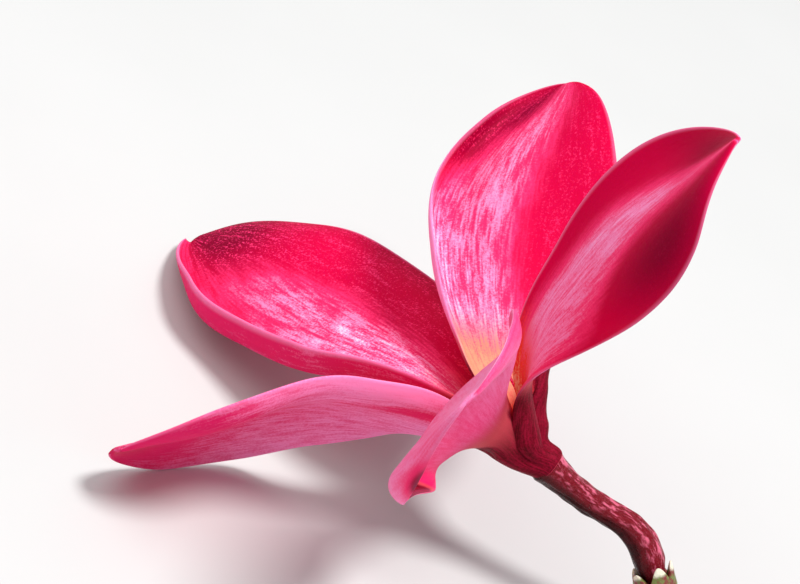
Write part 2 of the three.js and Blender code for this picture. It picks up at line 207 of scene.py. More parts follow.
# Random fields: seed, number of sines, and the fastest turn along each coordinate in radians. Those of
# the petals run over millimetres across and along, and the petal's number is added to the seed.
BLADE_WAVES = (10, 12, (0.5, 0.4))
VEIN_WAVES = (40, 30, (2.6, 0.12))
BROAD_WAVES = (60, 14, (0.35, 0.18))
WRINKLE_WAVES = (3, 40, (13, 13, 0.8))
BUMP_WAVES = (4, 60, (9, 9, 3.5))
COLLAR_WAVES = (5, 8, (3, 3))
CALYX_WAVES = (7, 20, (6, 6, 5))
STALK_WAVES = (8, 30, (4, 4, 1.6))


# ----------------------------------
# Curves and surfaces

def smooth(t):
    s = np.clip(t, 0, 1)
    return s * s * (3 - 2 * s)


def blend_values(stations, values, at):
    """A smooth curve through values at given stations, with slopes from the neighbouring values."""
    stations = np.asarray(stations, float)
    values = np.asarray(values, float)
    at = np.asarray(at, float)
    last = len(stations) - 1
    below = np.maximum(np.arange(last + 1) - 1, 0)
    above = np.minimum(np.arange(last + 1) + 1, last)
    slope = (values[above] - values[below]) / (stations[above] - stations[below])
    i = np.clip(np.searchsorted(stations, at, side="right") - 1, 0, last - 1)
    h = stations[i + 1] - stations[i]
    t = (at - stations[i]) / h
    return (
        (1 + 2 * t) * (1 - t) ** 2 * values[i]
        + t * (1 - t) ** 2 * h * slope[i]
        + t * t * (3 - 2 * t) * values[i + 1]
        + t * t * (t - 1) * h * slope[i + 1]
    )


def waves(kind, *coordinates, offset=0):
    """A smooth random field of about unit height: sines along random directions, no faster than reach."""
    seed, count, reach = kind
    draw = np.random.default_rng(seed + offset)
    total = 0
    for _ in range(count):
        phase = draw.uniform(0, 2 * math.pi)
        for coordinate, fastest in zip(coordinates, reach):
            phase = phase + draw.uniform(-fastest, fastest) * coordinate
        total = total + np.sin(phase)
    return total / math.sqrt(count / 2)


def unit(vectors):
    return vectors / np.maximum(np.linalg.norm(vectors, axis=-1, keepdims=True), 1e-12)


# ----------------------------------
# The tube's middle line

def tube_line():
    """Points, directions and square axes at even, fine steps of depth along the tube."""
    route = np.array(TUBE_ROUTE, float)
    chords = np.concatenate([[0], np.cumsum(np.linalg.norm(np.diff(route, axis=0), axis=1))])
    fine = np.linspace(0, chords[-1], ROUTE_SAMPLES)
    points = np.stack([blend_values(chords, route[:, k], fine) for k in range(3)], 1)
    lengths = np.concatenate([[0], np.cumsum(np.linalg.norm(np.diff(points, axis=0), axis=1))])
    depth = np.linspace(0, lengths[-1], LINE_SAMPLES)
    points = np.stack([np.interp(depth, lengths, points[:, k]) for k in range(3)], 1)
    along = unit(np.gradient(points, depth, axis=0))
    across = np.zeros_like(points)
    before = np.array([1.0, 0.0, 0.0])
    for i in range(len(points)):
        before = before - along[i] * (before @ along[i])
        before = before / np.linalg.norm(before)
        across[i] = before
    return depth, points, along, across


LINE_DEPTH, LINE_POINTS, LINE_ALONG, LINE_ACROSS = tube_line()
TUBE_LENGTH = LINE_DEPTH[-1]


def line_frame(depth):
    """Centre, direction and the two square axes of the tube at a depth below the throat."""
    parts = [
        np.stack([np.interp(depth, LINE_DEPTH, table[:, k]) for k in range(3)], -1)
        for table in (LINE_POINTS, LINE_ALONG, LINE_ACROSS)
    ]
    centre, along, across = parts[0], unit(parts[1]), unit(parts[2])
    return centre, along, across, np.cross(along, across)


def tube_radius(depth):
    return blend_values(TUBE_DEPTHS, TUBE_RADII, np.clip(depth, TUBE_DEPTHS[0], TUBE_DEPTHS[-1]))


# ----------------------------------
# Petals

def petal_spine(petal, azimuth):
    u = np.linspace(0, 1, SPINE_STEPS + 1)
    lean = blend_values(LEAN_STATIONS, (CLAW_LEAN, *petal["lean"]), u) * DEGREE
    heading = azimuth + petal["sweep"] * DEGREE * u * u
    direction = np.stack([np.sin(lean) * np.cos(heading), np.sin(lean) * np.sin(heading), np.cos(lean)], 1)
    start = THROAT_RADIUS * np.array([[math.cos(azimuth), math.sin(azimuth), 0]])
    steps = (direction[1:] + direction[:-1]) / 2 * petal["length"] / SPINE_STEPS
    return u, np.concatenate([start, start + np.cumsum(steps, axis=0)]), lean, heading


def half_width(petal, u, side):
    power = math.log(0.5) / math.log(petal["widest"])
    outline = np.maximum(np.sin(np.pi * u ** power), 0) ** petal["bluntness"]
    claw = CLAW_HALF_WIDTH * (CLAW_INNER_SHARE if side < 0 else 1) * (1 - u) ** 2
    if side > 0:
        claw = claw + petal["wrap"] * (1 - smooth(u / WRAP_END))
    trim = petal["raised_trim"] if side < 0 else petal["covered_trim"]
    trim = blend_values(TRIM_STATIONS, trim, np.maximum(u, TRIM_STATIONS[0]))
    blade = petal["width"] / 2 * outline * (1 + side * petal["skew"] * np.sin(np.pi * u)) * trim
    return np.sqrt(claw ** 2 + blade ** 2 + (TIP_HALF_WIDTH * u) ** 2)


def section_slope(petal, u, v, side):
    cup = CLAW_CUP * (1 - smooth(u / CLAW_END)) * v
    form = smooth(u / FORM_END) * (1 - TIP_FLATTENING * smooth((u - TIP_START) / (1 - TIP_START)))
    ridge = petal["ridge"] * smooth(v / RIDGE_WIDTH)
    if side > 0:
        wrap = petal["wrap_curl"] * (1 - smooth(u / WRAP_END)) * v ** WRAP_LATENESS
        wrap = wrap + petal["base_curl"] * (1 - smooth(u / BASE_CURL_END)) * v
        hem = petal["hem"] * smooth((v - HEM_START) / (1 - HEM_START))
        return cup + wrap - form * (ridge + petal["tuck"] * v * v + hem)
    fade = 1 - smooth((v - RIDGE_FADE[0]) / (RIDGE_FADE[1] - RIDGE_FADE[0]))
    return cup + form * (petal["lift"] * smooth((v - CURL_START) / (1 - CURL_START)) - ridge * fade)


def blade_points(petal, azimuth, u, v):
    """The petal's middle surface at shares u of its length and v from the raised to the covered margin."""
    at, line, lean_at, heading_at = petal_spine(petal, azimuth)
    point = np.stack([np.interp(u, at, line[:, k]) for k in range(3)], 1)[:, None]
    lean = np.interp(u, at, lean_at)[:, None]
    heading = np.interp(u, at, heading_at)[:, None]
    roll = blend_values(ROLL_STATIONS, (CLAW_ROLL, *petal["roll"]), u)[:, None] * DEGREE
    inward = np.stack([-np.cos(lean) * np.cos(heading), -np.cos(lean) * np.sin(heading), np.sin(lean)], -1)
    clockwise = np.stack([np.sin(heading), -np.cos(heading), 0 * heading], -1)
    cos, sin = np.cos(roll)[..., None], np.sin(roll)[..., None]
    across = clockwise * cos - inward * sin
    up = inward * cos + clockwise * sin
    surface = np.zeros((len(u), len(v), 3))
    share = np.linspace(0, 1, ARC_STEPS + 1)
    for side in (-1, 1):
        slope = section_slope(petal, u[:, None], share[None], side) * DEGREE
        half = half_width(petal, u, side)[:, None]
        x = running_sum(np.cos(slope)) * half / ARC_STEPS
        y = running_sum(np.sin(slope)) * half / ARC_STEPS
        here = np.flatnonzero(v * side >= 0)
        place = np.abs(v[here]) * ARC_STEPS
        i = np.minimum(place.astype(int), ARC_STEPS - 1)
        f = place - i
        x = x[:, i] * (1 - f) + x[:, i + 1] * f
        y = y[:, i] * (1 - f) + y[:, i + 1] * f
        surface[:, here] = point + across * (side * x)[..., None] + up * y[..., None]
    return surface


def running_sum(rows):
    """The trapezoid sum along each row, from 0."""
    sums = np.cumsum((rows[:, 1:] + rows[:, :-1]) / 2, axis=1)
    return np.concatenate([np.zeros((len(rows), 1)), sums], axis=1)


def skirt_thickness(depth):
    return SKIRT_END_THICKNESS + (PETAL_THICKNESS - SKIRT_END_THICKNESS) * (1 - smooth(depth / COLLAR_DEPTH))


def skirt_points(first_row, petal, azimuth, v, depth):
    """The claw carried on down from its first row, until it lies in the tube's skin at the collar."""
    radius = np.hypot(first_row[:, 0], first_row[:, 1])
    angle = np.arctan2(first_row[:, 1], first_row[:, 0])
    angle = azimuth + (angle - azimuth + math.pi) % (2 * math.pi) - math.pi
    height = first_row[:, 2]
    settled = smooth(depth / COLLAR_DEPTH)[:, None]
    skin = (tube_radius(depth) + SKIN_RISE - skirt_thickness(depth) / 2)[:, None]
    skin = skin + SKIRT_LAP * v * (1 - settled)
    r = (radius - THROAT_NARROWING * depth[:, None]) * (1 - settled) + skin * settled
    span = np.where(v < 0, RAISED_SPAN, petal["covered_span"]) * DEGREE
    a = angle * (1 - settled) + (azimuth - v * span) * settled
    centre, along, across = line_frame(depth)[:3]
    straight = np.array([0, 0, -1.0])
    centre = straight * depth[:, None] * (1 - settled) + centre * settled
    along = unit(straight * (1 - settled) + along * settled)
    across = unit(np.array([1.0, 0, 0]) * (1 - settled) + across * settled)
    side = np.cross(along, across)
    centre, along, across, side = (part[:, None] for part in (centre, along, across, side))
    lift = (height * (1 - settled))[..., None]
    return centre + across * (r * np.cos(a))[..., None] - side * (r * np.sin(a))[..., None] - along * lift


def sheet_normals(surface):
    along = np.gradient(surface, axis=0)
    across = np.gradient(surface, axis=1)
    return unit(np.cross(across, along))


def half_thickness(petal, u, v, half):
    """Thinner to the margins and down the claw, with a rounded edge all round."""
    length = petal["length"]
    middle = 1 - np.abs(v) ** MIDDLE_REACH
    thickness = MARGIN_THICKNESS + (PETAL_THICKNESS - MARGIN_THICKNESS) * middle
    below = np.maximum(-u * length, 0)
    thickness = thickness * (skirt_thickness(below) / PETAL_THICKNESS)[:, None]
    to_edge = np.minimum(half * (1 - np.abs(v)), (1 - u)[:, None] * length)
    to_edge = np.minimum(to_edge, ((u - u[0]) * length)[:, None] * SKIRT_END_ROUNDING)
    rounded = np.sqrt(1 - (1 - np.clip(to_edge / MARGIN_ROUNDING, 0, 1)) ** 2)
    return thickness / 2 * rounded


def petal_surface(index):
    """Middle surface, normals and half thickness of one petal with its claw, its shares u along and v
    across, and the millimetres across and along."""
    petal = PETALS[index]
    azimuth = (FIRST_AZIMUTH - PETAL_STEP * index + petal["turn"]) * DEGREE
    q = np.linspace(0, 1, BLADE_ROWS)
    u = q - ROW_CROWDING * np.sin(2 * np.pi * q) / (2 * np.pi)
    v = np.sin(np.linspace(-1, 1, PETAL_COLUMNS) * np.pi / 2)
    blade = blade_points(petal, azimuth, u, v)
    depth = np.linspace(COLLAR_DEPTH, 0, SKIRT_ROWS, endpoint=False)
    surface = np.concatenate([skirt_points(blade[0], petal, azimuth, v, depth), blade])
    shift = np.concatenate([1 - (depth / SHIFT_DEPTH) ** 2, 1 - smooth(u / SHIFT_END)])
    surface[..., 0] += THROAT_SHIFT * shift[:, None]
    u = np.concatenate([-depth / petal["length"], u])
    mm_along = (u * petal["length"])[:, None]
    raised, covered = (half_width(petal, np.maximum(u, 0), side)[:, None] for side in (-1, 1))
    half = np.where(v < 0, raised, covered)
    mm_across = v * half
    wave = waves(BLADE_WAVES, mm_across, mm_along, offset=index)
    wave = wave * WAVE_HEIGHT * smooth((u - WAVE_START) / WAVE_RISE)[:, None]
    surface = surface + sheet_normals(surface) * wave[..., None]
    return surface, sheet_normals(surface), half_thickness(petal, u, v, half), u, v, mm_across, mm_along


def border_of(rows, columns):
    border = np.ones((rows, columns), bool)
    border[1:-1, 1:-1] = False
    return border


def blade_faces(rows, columns):
    """Quads of the inner and the outer sheet, which share their border, and the points inside it."""
    grid = np.arange(rows * columns).reshape(rows, columns)
    a, b, c, d = grid[:-1, :-1], grid[:-1, 1:], grid[1:, 1:], grid[1:, :-1]
    inner = np.stack([a, b, c, d], -1).reshape(-1, 4)
    outer = np.stack([a, d, c, b], -1).reshape(-1, 4)
    inside = np.flatnonzero(~border_of(rows, columns).ravel())
    on_outer = grid.ravel().copy()
    on_outer[inside] = rows * columns + np.arange(len(inside))
    return inner, on_outer[outer], inside


def spot_sum(spots, u, v):
    total = np.zeros(u.shape)
    for at, side, reach_along, reach_across, amount in spots:
        total = total + amount * np.exp(-((u - at) / reach_along) ** 2 - ((v - side) / reach_across) ** 2)
    return total


def inner_fields(look, u, v):
    """How pale, dark and glowing the inner face is: the pale partly painted sheen, the dark mostly painted
    shade.
    """
    at = np.clip(u, LOOK_STATIONS[0], LOOK_STATIONS[-1])
    low, high, strength = (blend_values(LOOK_STATIONS, look[key], at) for key in ("low", "high", "strength"))
    zone = smooth((v - low) / ZONE_EDGE + 0.5) * smooth((high - v) / ZONE_EDGE + 0.5)
    pale = zone * strength * smooth((u - PALE_START) / PALE_RISE)
    dark = spot_sum(look["inner_dark"], u, v)
    light = 1 - np.clip(dark, 0, 1)
    glow = look["glow"] * (1 - smooth(u / GLOW_REACH)) * (GLOW_MIDDLE - GLOW_TILT * v)
    return pale * light, dark, glow * light


def outer_fields(look, u, v):
    """The same three of the outer face, which has no glow."""
    spots = spot_sum(look["outer_spots"], u, v)
    start, end = look["claw"]
    claw = 1 - smooth((u - start) / (end - start))
    edge = smooth((np.abs(v) - OUTER_EDGE_START) / (1 - OUTER_EDGE_START))
    pale = look["outer_pale"] + spots + look["outer_edge"] * edge
    # Dark spots darken the outer face, partly as painted shade, as in the hollow of petal 5's rolled hem; the
    # claw adds its own maroon.
    dark = np.maximum(-spots - SPOT_DARK_START, 0) * SPOT_DARKENING + claw
    return pale, dark, np.zeros(u.shape)


def petal_mesh(index):
    surface, normals, half_thick, u, v, mm_across, mm_along = petal_surface(index)
    relief = waves(VEIN_WAVES, mm_across, mm_along, offset=index)
    relief = relief * VEIN_RELIEF * smooth(u / VEIN_START)[:, None] * (1 - np.abs(v) ** VEIN_REACH)
    inner = surface + normals * (half_thick + relief)[..., None]
    outer = surface - normals * (half_thick - relief)[..., None]
    shape = surface.shape[:2]
    inner_faces, outer_faces, inside = blade_faces(*shape)
    points = np.concatenate([inner.reshape(-1, 3), outer.reshape(-1, 3)[inside]])
    grid_u = np.broadcast_to(u[:, None], shape)
    grid_v = np.broadcast_to(v, shape)
    broad = waves(BROAD_WAVES, mm_across, mm_along, offset=index)
    fields = {
        "along": (grid_u, grid_u),
        "across": (grid_v, grid_v),
        "broad": (broad, broad),
        "inner_side": (np.where(border_of(*shape), 0.5, 1.0), np.zeros(shape)),
    }
    look = LOOKS[index]
    pairs = zip(inner_fields(look, grid_u, grid_v), outer_fields(look, grid_u, grid_v))
    fields.update(zip(("pale", "dark", "glow"), pairs))
    joined = {name: np.concatenate([a.ravel(), b.ravel()[inside]]) for name, (a, b) in fields.items()}
    return points, np.concatenate([inner_faces, outer_faces]).tolist(), joined


# ----------------------------------
# Ringed pieces: tube, calyx, stalk

def ring_faces(rings, sides):
    grid = np.arange(rings * sides).reshape(rings, sides)
    after = np.roll(grid, -1, axis=1)
    return np.stack([grid[:-1], after[:-1], after[1:], grid[1:]], -1).reshape(-1, 4)


def ring_solid(rings, fields):
    """A solid through rings of points, with a fan of triangles over each end."""
    count, sides = rings.shape[:2]
    points = np.concatenate([rings.reshape(-1, 3), rings[0].mean(0)[None], rings[-1].mean(0)[None]])
    quads = ring_faces(count, sides)
    first = np.arange(sides)
    last = (count - 1) * sides + first
    start = np.stack([np.full(sides, len(points) - 2), np.roll(first, -1), first], -1)
    end = np.stack([np.full(sides, len(points) - 1), last, np.roll(last, -1)], -1)
    full = {}
    for name, values in fields.items():
        values = np.broadcast_to(values, rings.shape[:2])
        full[name] = np.concatenate([values.ravel(), [values[0].mean(), values[-1].mean()]])
    return points, [*quads.tolist(), *start.tolist(), *end.tolist()], full


def full_turn(sides):
    return 2 * np.pi * np.arange(sides) / sides


TUBE_SIDES = 150
TUBE_RINGS = 300
TUBE_START = 2.2                   # depth at which the tube's own wall starts, inside the claws
TUCK = 0.42                        # how far the wall is drawn in under the claws
TUCK_END = 3.2                     # depth at which it starts to come out, and over what depth
TUCK_FADE = 0.9
WRINKLE_HEIGHT = 0.032
BUMP_HEIGHT = 0.026
GROOVE_ANGLE = 2.2                 # of one groove along the tube, in radians round it
GROOVE_SWAY = 0.25
GROOVE_TURN = 0.35                 # radians a millimetre
GROOVE_WIDTH = 0.11
GROOVE_DEPTH = 0.13
GROOVE_START = 5
GROOVE_RISE = 3
RELIEF_START = 3.6                 # depth at which wrinkles, bumps and groove set in
RELIEF_RISE = 1.2
RELIEF_END_FADE = 1.0
COLLAR_HEIGHT = 0.1                # of the rim that the claws leave on the tube's skin
COLLAR_OFFSET = 0.1
COLLAR_WIDTH = 0.3
COLLAR_UNEVENNESS = 0.6
BORE_RINGS = 24
BORE_RADIUS = 0.95
BORE_DEPTH = 9.0
BORE_FLARE = 0.2                   # extra radius at the bore's mouth
BORE_FLARE_END = 4
BORE_FLARE_FADE = 2
PAINTED_LIGHT_ANGLE = 20                     # round the tube, of the side painted in light; the side across from it is painted in shade


def tube_relief(depth, angle):
    """What wrinkles, bumps, a groove and the rim of the claws add to the tube's radius."""
    cos, sin = np.cos(angle), np.sin(angle)
    wrinkles = waves(WRINKLE_WAVES, cos, sin, depth) * WRINKLE_HEIGHT
    bumps = waves(BUMP_WAVES, cos, sin, depth) * BUMP_HEIGHT
    groove_at = GROOVE_ANGLE + GROOVE_SWAY * np.sin(depth * GROOVE_TURN)
    away = np.abs((angle - groove_at + np.pi) % (2 * np.pi) - np.pi)
    groove = -GROOVE_DEPTH * np.exp(-(away / GROOVE_WIDTH) ** 2)
    groove = groove * smooth((depth - GROOVE_START) / GROOVE_RISE)
    uneven = 1 + COLLAR_UNEVENNESS * waves(COLLAR_WAVES, cos, sin)
    collar = COLLAR_HEIGHT * np.exp(-((depth - COLLAR_DEPTH - COLLAR_OFFSET) / COLLAR_WIDTH) ** 2) * uneven
    settled = smooth((depth - RELIEF_START) / RELIEF_RISE) * smooth((TUBE_LENGTH - depth) / RELIEF_END_FADE)
    return (wrinkles + bumps + groove) * settled + collar


def tube_mesh():
    angle = full_turn(TUBE_SIDES)[None]
    depth = np.linspace(TUBE_START, TUBE_LENGTH, TUBE_RINGS)[:, None]
    tucked = 1 - smooth((depth - TUCK_END) / TUCK_FADE)
    radius = tube_radius(depth) - TUCK * tucked + tube_relief(depth, angle)
    bore_depth = np.linspace(BORE_DEPTH, TUBE_START, BORE_RINGS)[:, None]
    bore_radius = BORE_RADIUS + BORE_FLARE * smooth((BORE_FLARE_END - bore_depth) / BORE_FLARE_FADE)
    bore_radius = np.broadcast_to(bore_radius, (BORE_RINGS, TUBE_SIDES))
    rings = [ring_points(bore_depth[:, 0], bore_radius, angle), ring_points(depth[:, 0], radius, angle)]
    return ring_solid(np.concatenate(rings), {
        # painted light round the tube: 1 on the side painted lit, 0 on the side painted in shade
        "painted_light_side": 0.5 + 0.5 * np.cos(angle - PAINTED_LIGHT_ANGLE * DEGREE),
        "inside": np.concatenate([np.ones(BORE_RINGS), np.zeros(TUBE_RINGS)])[:, None],
        "deep": np.concatenate([bore_depth, depth]),
        "cosine": np.cos(angle),
        "sine": np.sin(angle),
    })


def ring_points(depth, radius, angle):
    centre, along, across, side = (part[:, None] for part in line_frame(depth))
    return centre + across * (radius * np.cos(angle))[..., None] + side * (radius * np.sin(angle))[..., None]


def foot_points(distance, radius, angle, drift=0.0):
    """Points in the frame of the tube's foot, with the distance measured on from it."""
    centre, along, across, side = line_frame(np.array(TUBE_LENGTH))
    distance, radius, drift = (np.asarray(part, float)[..., None] for part in (distance, radius, drift))
    cos, sin = np.cos(angle)[..., None], np.sin(angle)[..., None]
    return centre + along * distance + across * (radius * cos + drift) + side * (radius * sin)


CALYX_SIDES = 200
CALYX_LEVELS = 16
CALYX_DRAW_IN = 0.12               # of the cup's wall at its top
CALYX_ROUGHNESS = 0.02
BASE_RINGS = 8
BASE_START = 0.1
LOBE_SHARPNESS = 1.7
LOBE_UNEVENNESS = (0.12, 0.08)     # of the lobes' heights, once and twice round
LOBE_TURN = 1.0
LOBE_THINNING = 0.72
LOBE_THINNING_POWER = 1.5


def calyx_mesh():
    angle = full_turn(CALYX_SIDES)
    pointed = np.abs(np.cos(LOBE_COUNT * angle / 2)) ** LOBE_SHARPNESS
    once, twice = LOBE_UNEVENNESS
    uneven = 1 + once * np.sin(angle + LOBE_TURN) + twice * np.sin(2 * angle)
    height = CALYX_RIM + LOBE_HEIGHT * pointed * uneven
    inner = TUBE_RADII[-1] + CALYX_SIDE_GAP
    share = np.linspace(0, 1, CALYX_LEVELS + 1)[:, None]
    half = CALYX_WALL / 2 * (1 - LOBE_THINNING * share ** LOBE_THINNING_POWER * pointed)
    distance = CALYX_GAP - share * (height + CALYX_GAP)
    rough = waves(CALYX_WAVES, np.cos(angle), np.sin(angle), distance) * CALYX_ROUGHNESS
    middle = inner + CALYX_WALL / 2 + LOBE_FLARE * share * height - CALYX_DRAW_IN * share
    inside = foot_points(distance, middle - half, angle)
    outside = foot_points(distance, middle + half + rough, angle)[::-1]
    base_share = np.linspace(BASE_START, 1, BASE_RINGS)[:, None]
    base_radius = (inner + CALYX_WALL) + (CALYX_BASE_RADIUS - inner - CALYX_WALL) * base_share ** 2
    base_distance = CALYX_GAP + CALYX_FLOOR * np.sin(base_share * np.pi / 2)
    base = foot_points(base_distance, np.broadcast_to(base_radius, (BASE_RINGS, CALYX_SIDES)), angle)
    wall_height = share * height / (CALYX_RIM + LOBE_HEIGHT)
    base_height = np.broadcast_to(-base_share, (BASE_RINGS, CALYX_SIDES))
    return ring_solid(np.concatenate([inside, outside, base]), {
        "height": np.concatenate([wall_height, wall_height[::-1], base_height]),
    })


STALK_SIDES = 96
STALK_RINGS = 90
STALK_SUNK = 0.35                  # its top rises this far: over the CAD's gap, and into the calyx
STALK_SLIMMING = 0.03
LUMP_HEIGHT = 0.025
SWELLING = 0.1                     # under the calyx, and its reach down the stalk
SWELLING_REACH = 1.2
CUT_ROUNDING = 0.12                # of the stalk's cut edge, and the share of the length it takes
CUT_ROUNDING_SHARE = 0.015
CUT_INSET = 0.02
CUT_RINGS = 8
CUT_SHARES = (0.9, 0.1)            # of the radius, of the first and the last ring on the cut
CUT_FADE = 0.6


def stalk_mesh():
    angle = full_turn(STALK_SIDES)
    share = np.linspace(0, 1, STALK_RINGS)[:, None]
    start = 2 * CALYX_GAP + CALYX_FLOOR - STALK_SUNK
    length = STALK_LENGTH + STALK_SUNK
    lumps = waves(STALK_WAVES, np.cos(angle), np.sin(angle), share * length) * LUMP_HEIGHT
    swelling = SWELLING * np.exp(-(share * length / SWELLING_REACH) ** 2)
    rounding = CUT_ROUNDING * smooth((share - (1 - CUT_ROUNDING_SHARE)) / CUT_ROUNDING_SHARE)
    radius = STALK_RADIUS - STALK_SLIMMING + lumps + swelling - rounding
    side = foot_points(start + length * share, radius, angle, STALK_BEND * share ** 2)
    cut_share = np.linspace(*CUT_SHARES, CUT_RINGS)[:, None]
    whole = np.ones_like(cut_share)
    cut = foot_points((start + length) * whole, cut_share * (radius[-1] - CUT_INSET), angle,
                      STALK_BEND * whole)
    return ring_solid(np.concatenate([side, cut]), {
        "cut": np.concatenate([np.zeros_like(share), 1 - cut_share * CUT_FADE]),
    })


# ----------------------------------
# Laying the flower down

def turn_matrix():
    heading = Matrix.Rotation(LIE_HEADING * DEGREE, 3, "Z")
    lean = Matrix.Rotation(LIE_LEAN * DEGREE, 3, "X")
    spin = Matrix.Rotation(LIE_SPIN * DEGREE, 3, "Z")
    return np.array(heading @ lean @ spin)


TURN = turn_matrix()


def to_row(points):
    return points @ TURN.T * MM + THROAT


# ----------------------------------
# Making pieces

def make_piece(name, shape, material, node):
    points, faces, fields = shape
    mesh = bpy.data.meshes.new(name)
    mesh.from_pydata(to_row(points).tolist(), [], faces)
    for field, values in fields.items():
        attribute = mesh.attributes.new(field, "FLOAT", "POINT")
        attribute.data.foreach_set("value", values.astype(np.float32))
    mesh.validate()
    mesh.shade_smooth()
    mesh.materials.append(material)
    piece = bpy.data.objects.new(name, mesh)
    bpy.context.scene.collection.objects.link(piece)
    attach(piece, "root")
    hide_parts(node)


# ----------------------------------
# Materials

MIX_INPUTS = (0, 6, 7)             # a Mix node's sockets: the factor and the two colours
MIX_OUTPUT = 2


class Shader:
    """A material's node tree, with short calls for the nodes that the materials here are built of."""

    def __init__(self, name):
        self.material = bpy.data.materials.new(name)
        self.material.use_nodes = True
        self.tree = self.material.node_tree
        self.surface = self.tree.nodes["Principled BSDF"]

    def add(self, kind, inputs=None, **settings):
        node = self.tree.nodes.new(kind)
        for key, value in settings.items():
            setattr(node, key, value)
        for key, value in (inputs or {}).items():
            self.feed(node.inputs[key], value)
        return node

    def feed(self, socket, value):
        if isinstance(value, bpy.types.NodeSocket):
            self.tree.links.new(value, socket)
        elif socket.type == "RGBA":
            socket.default_value = (*value, 1) if len(value) == 3 else value
        else:
            socket.default_value = value

    def set(self, **inputs):
        for key, value in inputs.items():
            self.feed(self.surface.inputs[key.replace("_", " ")], value)

    def field(self, name):
        return self.add("ShaderNodeAttribute", attribute_name=name).outputs["Fac"]

    def math(self, operation, a, b=0.0, clamp=False):
        node = self.add("ShaderNodeMath", {0: a, 1: b}, operation=operation, use_clamp=clamp)
        return node.outputs[0]

    def scale(self, value, factor):
        return self.math("MULTIPLY", value, factor)

    def total(self, first, *others):
        return self.math("ADD", first, self.total(*others)) if others else first

    def rise(self, value, low, high, bottom=0.0, top=1.0):
        """bottom below low, top above high, and smooth between."""
        inputs = {"Value": value, "From Min": low, "From Max": high, "To Min": bottom, "To Max": top}
        return self.add("ShaderNodeMapRange", inputs, interpolation_type="SMOOTHSTEP").outputs["Result"]

    def mix(self, share, a, b):
        """Colour a where share is 0, b where it is 1."""
        node = self.add("ShaderNodeMix", data_type="RGBA", clamp_factor=True)
        for socket, value in zip(MIX_INPUTS, (share, a, b)):
            self.feed(node.inputs[socket], value)
        return node.outputs[MIX_OUTPUT]

    def place(self):
        """Coordinates on the piece, in millimetres."""
        own = self.add("ShaderNodeTexCoord").outputs["Object"]
        return self.add("ShaderNodeMapping", {"Vector": own, "Scale": (1 / MM,) * 3}).outputs["Vector"]

    def join(self, x, y, z=0.0):
        return self.add("ShaderNodeCombineXYZ", {"X": x, "Y": y, "Z": z}).outputs[0]

    def noise(self, vector, scale, detail=2.0, roughness=0.5):
        inputs = {"Vector": vector, "Scale": scale, "Detail": detail, "Roughness": roughness}
        return self.add("ShaderNodeTexNoise", inputs).outputs["Fac"]

    def bump(self, height, distance, strength=1.0):
        inputs = {"Height": height, "Distance": distance, "Strength": strength}
        return self.add("ShaderNodeBump", inputs).outputs["Normal"]


CRIMSON = (0.64, 0.0, 0.05)
# DEEP_CRIMSON is mostly painted shade, laid where the inner face turns away from the light.
DEEP_CRIMSON = (0.22, 0.0, 0.022)
# ROSE, PALE_PINK and WHITE_PINK: partly the petals' own pale streaks, partly painted sheen; PALE_PINK is also
# the painted rim highlight.
ROSE = (0.90, 0.03, 0.15)
PALE_PINK = (0.96, 0.27, 0.53)
WHITE_PINK = (1.0, 0.78, 0.91)
OUTER_PINK = (0.80, 0.015, 0.13)
OUTER_PALE = (1.0, 0.28, 0.58)
GLOW_RED = (0.90, 0.035, 0.02)
GLOW_SALMON = (0.98, 0.22, 0.19)
GLOW_YELLOW = (1.0, 0.40, 0.24)
CLAW_RED = (0.60, 0.06, 0.085)
MAROON = (0.09, 0.002, 0.006)
CLAW_CRIMSON = (0.30, 0.006, 0.03)
# The tube's red, the painted shade of the side away from the light, and the pink of its painted sheen.
TUBE_RED = (0.20, 0.003, 0.012)
TUBE_PAINTED_SHADE = (0.03, 0.001, 0.002)
TUBE_PAINTED_SHEEN = (0.78, 0.15, 0.25)
CALYX_GREEN = (0.16, 0.20, 0.04)
CALYX_RED = (0.22, 0.02, 0.025)
CALYX_TIP = (0.85, 0.84, 0.66)
STALK_GREEN = (0.15, 0.17, 0.04)
STALK_RED = (0.20, 0.06, 0.03)
STALK_SCUFF = (0.40, 0.33, 0.17)
CUT_PALE = (0.62, 0.66, 0.38)
CUT_GREEN = (0.40, 0.46, 0.16)
FLOOR_DARK = (0.58, 0.58, 0.57)
FLOOR_LIGHT = (0.64, 0.64, 0.63)

# Noise of the petals: how fast it runs across and along them, how far it moves on from one petal to the
# next and where it starts, and its detail and roughness.
STREAKS = dict(across=14.0, along=13.0, step=3.7, start=0, detail=4.0, roughness=0.6)
VEINS = dict(across=40.0, along=12.0, step=1.9, start=20, detail=2.0, roughness=0.5)
GRAIN = (4.2, 3.0, 0.75)           # scale to the millimetre, detail and roughness
STREAK_SHARE = 0.48                # of the three in the mottling
VEIN_SHARE = 0.35
GRAIN_SHARE = 0.42
MOTTLE_RANGE = (0.48, 0.78)
BROAD_PALE = 0.09                  # what the broad field adds to the pale and to the dark patches
BROAD_DARK = 0.06
PINK_BASE = 0.78                   # share of a pale patch that stays pink without mottling
PINK_LOSS = 0.3                    # what mottling takes from that, and what its crests give back
PINK_GAIN = 0.5
SPECK_MOTTLE = 0.6
SPECK_GRAIN = 0.55
SPECK_RANGE = (0.62, 0.80)
SPECK_STRENGTH = 0.22
ROSE_RANGE = (0.05, 0.42)          # of the pink, over which each paler colour comes in
PALE_RANGE = (0.35, 0.78)
WHITE_RANGE = (0.70, 1.02)
SALMON_GLOW = 1.5                  # petals that glow more than this turn salmon, and yellow sooner
SHALLOW_RANGE = (0.04, 0.13)       # of the length, over which red gives way to them
GLOW_BASE = 0.6
GLOW_GAIN = 0.9
GLOW_RANGE = (0.03, 0.8)
SOON_YELLOW_RANGE = (0.4, 1.15)
